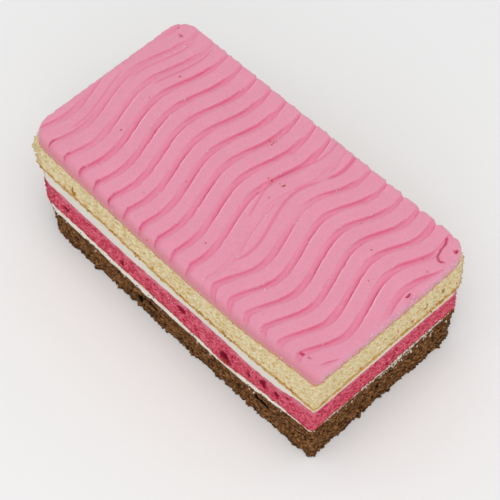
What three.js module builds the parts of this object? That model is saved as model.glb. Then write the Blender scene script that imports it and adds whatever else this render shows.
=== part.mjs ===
// Rainbow sponge cake slice: an oblong cut from a tray cake, with a chocolate, a pink and a
// vanilla sponge, whipped cream between them, and a coat of pink butter icing on top that a
// toothed comb was drawn across in waves.
//
// Millimetres, Z up. X runs along the slice and Y across it. The origin is the middle of the
// base. The long cut side faces -Y, the short cut end faces +X, and the other two sides are
// the rounded, slightly flared sides of the whole cake.
import * as THREE from 'three';

// ---------------------------------------------------------------- driving dimensions
const LENGTH = 170;
const WIDTH = 90;
const HALF_LENGTH = LENGTH / 2;
const HALF_WIDTH = WIDTH / 2;

// Mean heights of the joints between the layers, from the base up.
const CHOCOLATE_TOP = 12.5;
const PINK_BOTTOM = 17.2;
const PINK_TOP = 31.7;
const VANILLA_BOTTOM = 38.9;
const VANILLA_TOP = 55.5;
const ICING_THICKNESS = 4.4;

// Clear space left between two layers that touch.
const LAYER_GAP = 0.3;

// The long cut side swells out, and its top edge sinks, most at this place along the slice.
const BELLY_CENTRE = 15;
const BELLY_BULGE = 1.5;
const BELLY_SAG = 2.0;

// Icing edge: the radius it rounds over with on the long cut side and on the side behind,
// and how far it is undercut at the sponge.
const ICING_FRONT_RADIUS = 2.2;
const ICING_BACK_RADIUS = 1.2;
const ICING_UNDERCUT = 0.1;

// Comb: depth and half width of the furrows, the share of that depth left on the high side
// of a furrow's tilted floor, the width of its walls, and the dip of a crest at its edges.
const FURROW_DEPTH = 1.5;
const FURROW_HALF_WIDTH = 1.4;
const HIGH_SIDE = 0.15;
const WALL_WIDTH = 0.3;
const CREST_DIP = 0.08;

// The comb was drawn across twice, side by side. start is the place of the first furrow's
// middle, pitch the distance between teeth, swing and wave the size of the waves, delay how far
// they lag behind the tilt of the floor, crest the place of a wave's top, drift the shift of the
// crest from tooth to tooth, skew its lopsidedness, and lean the slant of the whole stroke.
const FIRST_STROKE = {
  start: -82.4, pitch: 9.0, swing: 2.9, delay: 0.9, wave: 61.8, crest: 39.6, drift: -0.69,
  skew: 0.18, lean: -0.06,
};
const SECOND_STROKE = {
  start: 18.15, pitch: 9.2, swing: 3.4, delay: 1.0, wave: 55.1, crest: 38.6, drift: -0.14,
  skew: 0.4, lean: -0.03,
};
const FIRST_STROKE_TEETH = 12;
const SECOND_STROKE_TEETH = 7;

// The share of a furrow's depth that is missing at the left end, in the last furrow of the first
// stroke, and half way along the first furrow of the second, where the comb skipped.
const SHALLOWER_AT_LEFT = 0.35;
const SHALLOWER_AT_SEAM = 0.65;
const SHALLOWER_IN_SKIP = 0.6;
const SKIP_CENTRE = 8;

// Where a furrow reaches the long cut side it hooks along the slice.
const HOOK_REACH = 5;
const HOOK_SHIFT = 3.5;
const HOOK_BEND = 1.3;

// ---------------------------------------------------------------- small shape functions
const mix = (a, b, t) => a + (b - a) * t;
const clamp = (value, low, high) => Math.min(Math.max(value, low), high);
const bell = (x, centre, width) => Math.exp(-(((x - centre) / width) ** 2));

function smoothStep(from, to, x) {
  const t = clamp((x - from) / (to - from), 0, 1);
  return t * t * (3 - 2 * t);
}

// 0 at the long cut side, 1 at the side behind it.
const across = (y) => (y + HALF_WIDTH) / WIDTH;

// 1 at the belly of the long cut side, 0 at both its ends.
function belly(x) {
  const t = clamp((x - BELLY_CENTRE) / (HALF_LENGTH + Math.abs(BELLY_CENTRE)), -1, 1);
  return (1 - Math.abs(t) ** 1.6) * smoothStep(HALF_LENGTH, HALF_LENGTH / 2, x);
}

// Slow unevenness of a torn or cut crumb face, between -1 and 1.
function uneven(along, height, seed) {
  const wide = Math.sin(along * 0.11 + seed * 1.7 + height * 0.8);
  const middle = Math.sin(along * 0.31 + seed * 3.1 - height * 1.9);
  const narrow = Math.sin(along * 0.77 + seed * 5.3 + height * 3.7);
  return 0.45 * wide + 0.33 * middle + 0.22 * narrow;
}

// ---------------------------------------------------------------- joints between the layers
// Heights above the base at x, y. The cake rises towards its short cut end, where the creams
// thin out, and the sponge sinks under a large air hole in the pink layer.
function chocolateTop(x, y) {
  const rise = 6.2 * smoothStep(38, 86, x) + 0.9 * smoothStep(-20, -78, x);
  const dip = 1.6 * smoothStep(60, 84, x) * Math.sin(Math.PI * across(y));
  return CHOCOLATE_TOP + rise * mix(1, 0.8, across(y)) - dip;
}

function pinkBottom(x, y) {
  const rise = 3.1 * smoothStep(38, 84, x) + 0.5 * smoothStep(-20, -78, x);
  const sag = 1.1 * bell(x, 18, 26) + 1.7 * bell(x, 34, 8) * (1 - across(y));
  return PINK_BOTTOM + rise - sag;
}

function pinkTop(x, y) {
  const wave = 0.9 * bell(x, -20, 18) - 1.1 * bell(x, 15, 18) + 0.8 * bell(x, 52, 12);
  const rise = 4.7 * smoothStep(58, 86, x);
  return PINK_TOP + rise * mix(1, 0.55, across(y)) - wave * mix(1, -0.4, across(y));
}

function vanillaBottom(x, y) {
  const fall = 1.9 * smoothStep(-45, 15, x) - 0.5 * smoothStep(25, 55, x);
  const backFall = 2.2 * smoothStep(50, 86, x) * across(y) ** 2;
  return VANILLA_BOTTOM - fall * mix(1, 0.7, across(y)) - backFall;
}

function vanillaTop(x, y) {
  const sag = BELLY_SAG * belly(x) * (1 - across(y));
  const endRise = 0.9 * smoothStep(50, 86, x) * (1 - across(y));
  const middleDip = 1.4 * Math.sin(Math.PI * across(y)) * smoothStep(55, 84, x);
  return VANILLA_TOP + endRise - sag - middleDip;
}

// ---------------------------------------------------------------- building closed slabs
const SIDE_STEPS_LONG = 28;
const SIDE_STEPS_SHORT = 10;
const CORNER_STEPS = 3;
const SPINE_STEPS = 28;
const SPINE_END_MARGIN = 14;

class Shell {
  constructor() {
    this.positions = [];
    this.indices = [];
  }

  vertex(x, y, z) {
    this.positions.push(x, y, z);
    return this.positions.length / 3 - 1;
  }

  triangle(a, b, c) {
    this.indices.push(a, b, c);
  }

  // The band between two rings of equal length, lower ring first, both counter-clockwise.
  band(lower, upper) {
    for (let i = 0; i < lower.length; i += 1) {
      const next = (i + 1) % lower.length;
      this.triangle(lower[i], lower[next], upper[next]);
      this.triangle(lower[i], upper[next], upper[i]);
    }
  }

  // Closes a ring over a row of points along the middle of the slab, so that the cap follows
  // height(x, y) from end to end.
  cap(ring, height, facesUp) {
    const first = -HALF_LENGTH + SPINE_END_MARGIN;
    const step = (LENGTH - 2 * SPINE_END_MARGIN) / SPINE_STEPS;
    const spine = [];
    for (let i = 0; i <= SPINE_STEPS; i += 1) {
      const x = first + step * i;
      spine.push(this.vertex(x, 0, height(x, 0)));
    }
    const nearest = (v) => clamp(Math.round((this.positions[3 * v] - first) / step), 0, SPINE_STEPS);
    const add = (a, b, c) => (facesUp ? this.triangle(a, b, c) : this.triangle(a, c, b));
    for (let i = 0; i < ring.length; i += 1) {
      const here = ring[i];
      const next = ring[(i + 1) % ring.length];
      let at = nearest(here);
      const end = nearest(next);
      add(here, next, spine[at]);
      while (at !== end) {
        const to = at + Math.sign(end - at);
        add(next, spine[to], spine[at]);
        at = to;
      }
    }
  }

  geometry() {
    const geometry = new THREE.BufferGeometry();
    geometry.setAttribute('position', new THREE.Float32BufferAttribute(this.positions, 3));
    geometry.setIndex(this.indices);
    geometry.computeVertexNormals();
    return geometry;
  }
}

// A slab's outline from above, counter-clockwise from the front left corner's end, as points
// with the outward direction of the side they lie on. radii are given front left, front right,
// back right, back left.
function roundedOutline({ left, right, front, back, radii }) {
  const corners = [
    { x: right, y: front, radius: radii[1], inX: -1, inY: 1, turn: -Math.PI / 2 },
    { x: right, y: back, radius: radii[2], inX: -1, inY: -1, turn: 0 },
    { x: left, y: back, radius: radii[3], inX: 1, inY: -1, turn: Math.PI / 2 },
    { x: left, y: front, radius: radii[0], inX: 1, inY: 1, turn: Math.PI },
  ];
  const points = [];
  corners.forEach((corner, i) => {
    const before = corners[(i + 3) % 4];
    const steps = i % 2 === 0 ? SIDE_STEPS_LONG : SIDE_STEPS_SHORT;
    const outward = corner.turn;
    const arcPoint = (c, angle) => ({
      x: c.x + c.inX * c.radius + c.radius * Math.cos(angle),
      y: c.y + c.inY * c.radius + c.radius * Math.sin(angle),
      nx: Math.cos(angle),
      ny: Math.sin(angle),
    });
    const from = arcPoint(before, outward);
    const to = arcPoint(corner, outward);
    for (let s = 1; s < steps; s += 1) {
      points.push({
        x: mix(from.x, to.x, s / steps), y: mix(from.y, to.y, s / steps), nx: from.nx, ny: from.ny,
      });
    }
    for (let s = 0; s <= CORNER_STEPS; s += 1) {
      points.push(arcPoint(corner, outward + (Math.PI / 2) * (s / CORNER_STEPS)));
    }
  });
  return points;
}

// One layer between two joints. flare is how much the baked sides draw in from the layer's
// foot to its top, below zero where they lean out, roughness how far its faces wander, swell its share of the belly at foot
// and top, and spread how far its foot is pressed out on the long and the short cut side.
function layerGeometry(layer) {
  const { bottom, top, levels, flare, roughness, swell, spread, seed } = layer;
  const outline = roundedOutline(layer);
  const shell = new Shell();
  const rings = levels.map((level) => outline.map((point) => {
    const baked = Math.max(clamp(-point.nx, 0, 1), clamp(point.ny, 0, 1));
    const along = point.x * Math.abs(point.ny) + point.y * Math.abs(point.nx);
    const drawIn = flare * baked * level ** 1.5;
    const wander = roughness * mix(0.5, 1, baked) * uneven(along, level, seed + 2 * point.nx);
    const bulge = BELLY_BULGE * mix(swell[0], swell[1], level) * belly(point.x) * clamp(-point.ny, 0, 1);
    const pressed = spread[0] * clamp(-point.ny, 0, 1) + spread[1] * clamp(point.nx, 0, 1);
    const out = bulge + wander - drawIn + pressed * (1 - level) ** 2;
    const x = point.x + point.nx * out;
    const y = point.y + point.ny * out;
    return shell.vertex(x, y, mix(bottom(x, y), top(x, y), level));
  }));
  for (let i = 1; i < rings.length; i += 1) {
    shell.band(rings[i - 1], rings[i]);
  }
  shell.cap(rings[0], bottom, false);
  shell.cap(rings[rings.length - 1], top, true);
  return shell.geometry();
}

const above = (joint) => (x, y) => joint(x, y) + LAYER_GAP / 2;
const below = (joint) => (x, y) => joint(x, y) - LAYER_GAP / 2;

// ---------------------------------------------------------------- sponges and creams
const SPONGE_LEVELS = [0, 0.14, 0.38, 0.64, 0.88, 1];
const CREAM_LEVELS = [0, 0.5, 1];

const chocolateSponge = layerGeometry({
  left: -77.6, right: 84.2, front: -44.7, back: 40.4, radii: [12, 1.5, 6, 10],
  bottom: () => 0, top: below(chocolateTop), levels: SPONGE_LEVELS,
  flare: -3, roughness: 0.6, swell: [0.3, 0.4], spread: [0.4, 1.0], seed: 1,
});

const lowerCream = layerGeometry({
  left: -81.6, right: 83.9, front: -44.4, back: 42.0, radii: [12, 1.5, 6, 9],
  bottom: above(chocolateTop), top: below(pinkBottom), levels: CREAM_LEVELS,
  flare: 0, roughness: 0.4, swell: [0.4, 0.4], spread: [0, 0], seed: 2,
});

const pinkSponge = layerGeometry({
  left: -83.2, right: 84.5, front: -44.5, back: 43.6, radii: [12, 1.5, 6, 9],
  bottom: above(pinkBottom), top: below(pinkTop), levels: SPONGE_LEVELS,
  flare: 1.8, roughness: 0.45, swell: [0.4, 0.6], spread: [0, 0], seed: 3,
});

const upperCream = layerGeometry({
  left: -82.6, right: 84.0, front: -44.4, back: 42.4, radii: [11, 1.5, 7, 9],
  bottom: above(pinkTop), top: below(vanillaBottom), levels: CREAM_LEVELS,
  flare: 0, roughness: 0.3, swell: [0.6, 0.7], spread: [0, 0], seed: 4,
});

const vanillaSponge = layerGeometry({
  left: -84.7, right: 84.8, front: -44.6, back: 45.4, radii: [9, 1.5, 8.5, 9],
  bottom: above(vanillaBottom), top: below(vanillaTop), levels: SPONGE_LEVELS,
  flare: 1.6, roughness: 0.4, swell: [0.7, 1], spread: [0, 0], seed: 5,
});

// ---------------------------------------------------------------- combed icing
const ICING = { left: -83.8, right: 84.7, front: -44.6, back: 44.3, radii: [11.5, 2.5, 10.5, 9] };
const EDGE_STEPS = [0, 0.4, 1.1, 2.3];
const ICING_ROWS = 32;
const FLOOR_SHARE = FURROW_HALF_WIDTH / FIRST_STROKE.pitch;
const WALL_SHARE = (FURROW_HALF_WIDTH + WALL_WIDTH) / FIRST_STROKE.pitch;
const COLUMNS_PER_TOOTH = [-WALL_SHARE, -FLOOR_SHARE, FLOOR_SHARE, WALL_SHARE, 0.5];
const TIGHTEST_COLUMN = 0.3;

const icingFront = (x) => ICING.front - BELLY_BULGE * belly(x);

// How far round its wave a tooth is at y.
function wavePhase(stroke, tooth, y) {
  const turn = (2 * Math.PI * (stroke.crest + stroke.drift * tooth - y)) / stroke.wave;
  return turn + (stroke.skew * (1 - Math.cos(turn))) / 2;
}

// Where the middle of a furrow, or any line between two, crosses y on one stroke.
function strokeLine(stroke, tooth, y) {
  const phase = wavePhase(stroke, tooth, y);
  const sway = stroke.swing * Math.cos(phase) + stroke.delay * Math.sin(phase);
  const hook = HOOK_SHIFT * clamp((HOOK_REACH - HALF_WIDTH - y) / HOOK_REACH, 0, 1.1) ** HOOK_BEND;
  return stroke.start + stroke.pitch * tooth + sway + stroke.lean * y + hook;
}

// A value of both strokes together, teeth counted from the left end. Between the strokes the
// first runs over into the second.
function alongComb(value, tooth, y) {
  const lastOfFirst = FIRST_STROKE_TEETH - 1;
  const second = tooth - lastOfFirst;
  if (second <= 0) {
    return value(FIRST_STROKE, tooth, y);
  }
  if (second >= 1) {
    return value(SECOND_STROKE, second, y);
  }
  return mix(value(FIRST_STROKE, lastOfFirst, y), value(SECOND_STROKE, 1, y), second);
}

const combLine = (tooth, y) => alongComb(strokeLine, tooth, y);

// Tilt of a furrow's floor, from 1 (deepest on its +X side) to -1.
const floorTilt = (tooth, y) => alongComb((stroke, k, at) => -Math.sin(wavePhase(stroke, k, at)), tooth, y);

// The tooth that passes through x, y, whole numbers on furrow lines.
function toothAt(x, y) {
  let tooth = (x - combLine(0, y)) / FIRST_STROKE.pitch;
  for (let i = 0; i < 6; i += 1) {
    tooth += (x - combLine(tooth, y)) / FIRST_STROKE.pitch;
  }
  return tooth;
}

// Depth below the crest, as a share of the furrow's depth, at a share of a tooth from the
// furrow's middle: the tilted floor, a steep wall on each side of it, and half a crest.
function combSection(share, tilt) {
  const off = Math.abs(share);
  const floorAt = (side) => mix(HIGH_SIDE, 1, (1 + tilt * side) / 2);
  const side = clamp(share / FLOOR_SHARE, -1, 1);
  if (off <= FLOOR_SHARE) {
    return floorAt(side);
  }
  if (off <= WALL_SHARE) {
    return mix(floorAt(side), CREST_DIP, (off - FLOOR_SHARE) / (WALL_SHARE - FLOOR_SHARE));
  }
  return CREST_DIP * (1 - (off - WALL_SHARE) / (0.5 - WALL_SHARE)) ** 2;
}

function furrowDepth(tooth, y) {
  const atLeft = smoothStep(2.8, 1.6, tooth);
  const atSeam = bell(Math.round(tooth), FIRST_STROKE_TEETH - 1, 0.5);
  const inSkip = bell(Math.round(tooth), FIRST_STROKE_TEETH, 0.5) * bell(y, SKIP_CENTRE, 9);
  return FURROW_DEPTH * (1 - SHALLOWER_AT_LEFT * atLeft) * (1 - SHALLOWER_AT_SEAM * atSeam)
    * (1 - SHALLOWER_IN_SKIP * inSkip);
}

// Distance in from the icing's outline.
function inFromEdge(x, y) {
  const { left, right, back, radii } = ICING;
  const front = icingFront(x);
  const toSides = [x - left, right - x, y - front, back - y];
  const corners = [
    [toSides[0], toSides[2], radii[0]], [toSides[1], toSides[2], radii[1]],
    [toSides[1], toSides[3], radii[2]], [toSides[0], toSides[3], radii[3]],
  ];
  const rounded = corners.filter(([dx, dy, radius]) => dx < radius && dy < radius)
    .map(([dx, dy, radius]) => radius - Math.hypot(radius - dx, radius - dy));
  return Math.max(0, Math.min(...toSides, ...rounded));
}

function icingTop(x, y) {
  const edge = inFromEdge(x, y);
  const radius = mix(ICING_FRONT_RADIUS, ICING_BACK_RADIUS, clamp(across(y), 0, 1));
  const overhang = Math.max(0, radius - edge);
  const roundOver = radius - Math.sqrt(radius ** 2 - overhang ** 2);
  const tooth = toothAt(x, y);
  const share = tooth - Math.round(tooth);
  const fade = smoothStep(0.5, 2.2, y - icingFront(x)) * smoothStep(0, 5, ICING.right - x)
    * smoothStep(-1, 3, x - ICING.left);
  const furrow = furrowDepth(tooth, y) * combSection(share, floorTilt(tooth, y)) * fade;
  return vanillaTop(x, y) + ICING_THICKNESS - roundOver - furrow;
}

// The icing's left and right limits in the row that lies front and back millimetres in from
// the two long sides.
function rowLimits(fromFront, fromBack) {
  const { left, right, radii } = ICING;
  const bite = (radius, d) => (d < radius ? radius - Math.sqrt(radius ** 2 - (radius - d) ** 2) : 0);
  return [
    left + Math.max(bite(radii[0], fromFront), bite(radii[3], fromBack)),
    right - Math.max(bite(radii[1], fromFront), bite(radii[2], fromBack)),
  ];
}

function icingGeometry() {
  const teeth = [];
  const lastTooth = FIRST_STROKE_TEETH - 1 + SECOND_STROKE_TEETH;
  for (let tooth = -1; tooth <= lastTooth; tooth += 1) {
    COLUMNS_PER_TOOTH.forEach((share) => teeth.push(tooth + share));
  }
  const columnTeeth = teeth.filter((tooth) => tooth > -0.6 && tooth < lastTooth + 0.4);

  const span = ICING.back - ICING.front;
  const edge = EDGE_STEPS[EDGE_STEPS.length - 1];
  const fromFronts = [...EDGE_STEPS];
  for (let i = 1; i < ICING_ROWS; i += 1) {
    fromFronts.push(mix(edge, span - edge, i / ICING_ROWS));
  }
  EDGE_STEPS.toReversed().forEach((step) => fromFronts.push(span - step));

  const shell = new Shell();
  const rows = fromFronts.map((fromFront) => {
    const level = ICING.front + fromFront;
    const [low, high] = rowLimits(fromFront, span - fromFront);
    const xs = EDGE_STEPS.map((step) => low + step);
    columnTeeth.forEach((tooth, i) => {
      const least = low + edge + TIGHTEST_COLUMN * (i + 1);
      const most = high - edge - TIGHTEST_COLUMN * (columnTeeth.length - i);
      xs.push(clamp(combLine(tooth, level), least, most));
    });
    EDGE_STEPS.toReversed().forEach((step) => xs.push(high - step));
    return xs.map((x) => {
      const y = mix(icingFront(x), ICING.back, fromFront / span);
      return shell.vertex(x, y, icingTop(x, y));
    });
  });

  for (let r = 1; r < rows.length; r += 1) {
    for (let c = 1; c < rows[r].length; c += 1) {
      const corners = [rows[r - 1][c - 1], rows[r - 1][c], rows[r][c], rows[r][c - 1]];
      shell.triangle(corners[0], corners[1], corners[2]);
      shell.triangle(corners[0], corners[2], corners[3]);
    }
  }

  const lastRow = rows.length - 1;
  const lastColumn = rows[0].length - 1;
  const rim = [
    ...rows[0],
    ...rows.slice(1, lastRow).map((row) => row[lastColumn]),
    ...rows[lastRow].toReversed(),
    ...rows.slice(1, lastRow).map((row) => row[0]).toReversed(),
  ];
  const foot = rim.map((v) => {
    const [x, y] = shell.positions.slice(3 * v, 3 * v + 2);
    const inX = x * (1 - ICING_UNDERCUT / HALF_LENGTH);
    const inY = y * (1 - ICING_UNDERCUT / HALF_WIDTH);
    return shell.vertex(inX, inY, above(vanillaTop)(inX, inY));
  });
  shell.band(foot, rim);
  shell.cap(foot, above(vanillaTop), false);
  return shell.geometry();
}

// ---------------------------------------------------------------- the slice
const cake = new THREE.Group();

function addPiece(name, geometry, colour, roughness) {
  const material = new THREE.MeshStandardMaterial({ color: colour, roughness, metalness: 0 });
  const mesh = new THREE.Mesh(geometry, material);
  mesh.name = name;
  cake.add(mesh);
}

addPiece('sponge_chocolate', chocolateSponge, '#62401f', 0.95);
addPiece('cream_lower', lowerCream, '#e9e6de', 0.6);
addPiece('sponge_pink', pinkSponge, '#c8506a', 0.9);
addPiece('cream_upper', upperCream, '#dad4ca', 0.6);
addPiece('sponge_vanilla', vanillaSponge, '#d8ca98', 0.9);
addPiece('icing', icingGeometry(), '#e496b0', 0.45);

export default cake;
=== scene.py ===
import math

import bpy
import numpy as np
from mathutils import Matrix, Vector


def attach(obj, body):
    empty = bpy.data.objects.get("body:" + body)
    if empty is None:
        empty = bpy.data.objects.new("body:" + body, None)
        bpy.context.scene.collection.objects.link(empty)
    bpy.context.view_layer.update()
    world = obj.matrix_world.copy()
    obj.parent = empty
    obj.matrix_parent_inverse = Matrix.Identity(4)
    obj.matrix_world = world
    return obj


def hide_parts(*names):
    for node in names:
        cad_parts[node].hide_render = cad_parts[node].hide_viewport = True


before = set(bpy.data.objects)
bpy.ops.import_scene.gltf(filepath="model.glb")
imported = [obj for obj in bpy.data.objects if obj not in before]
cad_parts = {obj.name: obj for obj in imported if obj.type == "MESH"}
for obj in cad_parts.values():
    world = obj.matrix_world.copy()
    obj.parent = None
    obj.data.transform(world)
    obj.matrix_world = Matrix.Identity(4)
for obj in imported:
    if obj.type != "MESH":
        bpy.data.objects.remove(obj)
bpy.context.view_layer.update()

# A slice cut from a rainbow tray cake: three sheets of sponge, chocolate, pink and vanilla, with
# whipped cream between them and combed pink butter icing on top. Sizes are in millimetres, and
# X runs along the slice, Y across it. The long cut side faces -Y and the short cut end +X; the
# other two sides are the baked sides of the tray cake.

# ------------------------------------------------------------------ chocolate sponge
# The lowest sheet, a cocoa sponge beaten full of air, baked in a shallow tray and cut with a
# saw-toothed knife. The knife leaves torn pores in its faces and a ragged foot, and the crumb is
# pressed thicker towards the short cut end.
MM = 0.001
LENGTH, WIDTH = 170.0, 90.0
HALF_LENGTH, HALF_WIDTH = LENGTH / 2, WIDTH / 2
CHOCOLATE_TOP = 12.5

# The long cut side swells out, and the icing's edge sinks, most at this place along the slice.
BELLY_CENTRE, BELLY_BULGE, BELLY_SAG = 15.0, 1.5, 2.0

# How finely the faces are divided, how far their edges are rounded, and how far in the flat
# rings lie by which a face joins the hidden middle of a layer.
FACE_STEP = 0.42
EDGE_ROUND = 0.35
RINGS_IN = (0.8, 2.0, 5.0)
FIRST_RING_SEEN = 0.4
SPINE_STEPS = 28
SPINE_END_MARGIN = 14.0

# Heights of the rings of points at a face's lower and upper edge, and where the even ones begin.
EDGE_RINGS = (0.0, 0.12, 0.35)
INNER_RINGS_FROM = 0.7


def mix(a, b, share):
    return a + (b - a) * share


def smooth_step(start, end, x):
    share = np.clip((x - start) / (end - start), 0, 1)
    return share * share * (3 - 2 * share)


def bell(x, centre, width):
    return np.exp(-(((x - centre) / width) ** 2))


def across(y):
    """0 at the long cut side, 1 at the side behind it."""
    return (y + HALF_WIDTH) / WIDTH


def belly(x):
    """1 at the belly of the long cut side, 0 at both its ends."""
    off = np.clip((x - BELLY_CENTRE) / (HALF_LENGTH + BELLY_CENTRE), -1, 1)
    return (1 - np.abs(off) ** 1.6) * smooth_step(HALF_LENGTH, HALF_LENGTH / 2, x)


def uneven(along, height, seed):
    """Slow unevenness of a torn or cut crumb face, between -1 and 1."""
    wide = np.sin(along * 0.11 + seed * 1.7 + height * 0.8)
    middle = np.sin(along * 0.31 + seed * 3.1 - height * 1.9)
    narrow = np.sin(along * 0.77 + seed * 5.3 + height * 3.7)
    return 0.45 * wide + 0.33 * middle + 0.22 * narrow


def ragged(u, v, seed):
    """Quick unevenness of torn crumb, a few millimetres from lump to lump, between -1 and 1."""
    lumps = np.sin(1.3 * u + 0.9 * v + seed) * np.sin(0.37 * u - 1.1 * v + 2.3 * seed)
    bits = np.sin(2.9 * u - 1.7 * v + 2.9 * seed) * np.sin(0.83 * u + 2.1 * v + 1.1 * seed)
    specks = np.sin(5.1 * u + 4.3 * v + 3.1 * seed) * np.sin(1.9 * u - 5.3 * v + 0.7 * seed)
    return 0.45 * lumps + 0.35 * bits + 0.2 * specks


def chocolate_top(x, y):
    rise = 6.2 * smooth_step(38, 86, x) + 0.9 * smooth_step(-20, -78, x)
    dip = 1.6 * smooth_step(60, 84, x) * np.sin(np.pi * across(y))
    return CHOCOLATE_TOP + rise * mix(1, 0.8, across(y)) - dip + 0.45 * ragged(x, y, 1.0)


def rounded_off(radius, distance):
    """How far a round edge draws back at a distance from the side."""
    short = np.clip(radius - distance, 0, radius)
    return radius - np.sqrt(radius ** 2 - short ** 2)


def outline(left, right, front, back, radii):
    """Points round an oblong seen from above, counter-clockwise, with their outward directions.
    The corner radii are given front left, front right, back right, back left."""
    corners = ((right, front, -1, 1, radii[1]), (right, back, -1, -1, radii[2]),
               (left, back, 1, -1, radii[3]), (left, front, 1, 1, radii[0]))
    pieces = []
    for i, (x, y, in_x, in_y, radius) in enumerate(corners):
        last_x, last_y, last_in_x, last_in_y, last_radius = corners[i - 1]
        turn = (i - 1) * math.pi / 2
        facing = np.array([math.cos(turn), math.sin(turn)])
        start = np.array([last_x + last_in_x * last_radius, last_y + last_in_y * last_radius])
        middle = np.array([x + in_x * radius, y + in_y * radius])
        start, end = start + last_radius * facing, middle + radius * facing
        steps = math.ceil(np.linalg.norm(end - start) / FACE_STEP)
        share = np.arange(steps)[:, None] / steps
        pieces.append(np.hstack([mix(start, end, share), np.tile(facing, (steps, 1))]))
        steps = math.ceil(radius * math.pi / 2 / FACE_STEP)
        angle = turn + math.pi / 2 * np.arange(steps) / steps
        directions = np.stack([np.cos(angle), np.sin(angle)], 1)
        pieces.append(np.hstack([middle + radius * directions, directions]))
    return np.vstack(pieces).T


def closed_skin(rings, below, above):
    """Joins rings of points, the lowest first, into a closed skin, and closes it below and above
    over a row of points along the middle. below and above give the heights there. Returns points,
    faces, and how much of each point lies in the open."""
    ring_size = rings.shape[2]
    points = [rings.transpose(0, 2, 1).reshape(-1, 3)]
    open_share = [np.ones(len(points[0]))]
    faces = []
    here = np.arange(ring_size)
    after = np.roll(here, -1)

    def band(low, high):
        faces.extend(np.stack([low + here, low + after, high + after, high + here], 1).tolist())

    for ring in range(1, len(rings)):
        band((ring - 1) * ring_size, ring * ring_size)
    total = len(points[0])
    spine_x = np.linspace(-HALF_LENGTH + SPINE_END_MARGIN, HALF_LENGTH - SPINE_END_MARGIN,
                          SPINE_STEPS + 1)
    for height, faces_up in ((below, False), (above, True)):
        edge = (len(rings) - 1) * ring_size if faces_up else 0
        edge_x, edge_y = rings[-1 if faces_up else 0][:2]
        for distance in RINGS_IN:
            x = edge_x * (1 - distance / HALF_LENGTH)
            y = edge_y * (1 - distance / HALF_WIDTH)
            points.append(np.stack([x, y, height(x, y)], 1))
            open_share.append(np.full(ring_size, FIRST_RING_SEEN * (distance == RINGS_IN[0])))
            band(*((edge, total) if faces_up else (total, edge)))
            edge, edge_ring_x, total = total, x, total + ring_size
        points.append(np.stack([spine_x, 0 * spine_x, height(spine_x, 0 * spine_x)], 1))
        open_share.append(np.zeros(len(spine_x)))
        nearest = np.abs(edge_ring_x[:, None] - spine_x).argmin(1)
        for i in range(ring_size):
            corner, following = edge + i, edge + (i + 1) % ring_size
            at, end = nearest[i], nearest[(i + 1) % ring_size]
            fans = [(corner, following, total + at)]
            while at != end:
                step = 1 if end > at else -1
                fans.append((following, total + at + step, total + at))
                at += step
            faces.extend(fan if faces_up else fan[::-1] for fan in fans)
        total += len(spine_x)
    return np.vstack(points), faces, np.concatenate(open_share)


def make_piece(name, points, faces, **numbers):
    """A piece from points in millimetres, with one number a point under each further name."""
    mesh = bpy.data.meshes.new(name)
    mesh.from_pydata((points * MM).tolist(), [], faces)
    for label, values in numbers.items():
        mesh.attributes.new(label, "FLOAT", "POINT").data.foreach_set("value", values)
    mesh.shade_smooth()
    piece = bpy.data.objects.new(name, mesh)
    bpy.context.scene.collection.objects.link(piece)
    return piece


def hollow(x, y, z, out_x, out_y, air_holes):
    """How deep each point lies in an air hole, in millimetres, and how dark the painted shade in
    it is, from 0 to 1. A hole is named by its face, its place along it and height, its half width,
    half height and depth."""
    depth, dark = np.zeros_like(x), np.zeros_like(x)
    faces = {"long": (-out_y, x), "short": (out_x, y)}
    for face, along, height, half_width, half_height, deep in air_holes:
        facing, place = faces[face]
        reach = np.hypot((place - along) / half_width, (z - height) / half_height)
        reach += 0.16 * ragged(place * 1.1, z * 1.1, along)
        in_face = smooth_step(0.5, 0.8, facing)
        depth = np.maximum(depth, deep * in_face * smooth_step(1.05, 0.4, reach))
        dark = np.maximum(dark, in_face * smooth_step(1.15, 0.85, reach))
    return depth, dark


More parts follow.
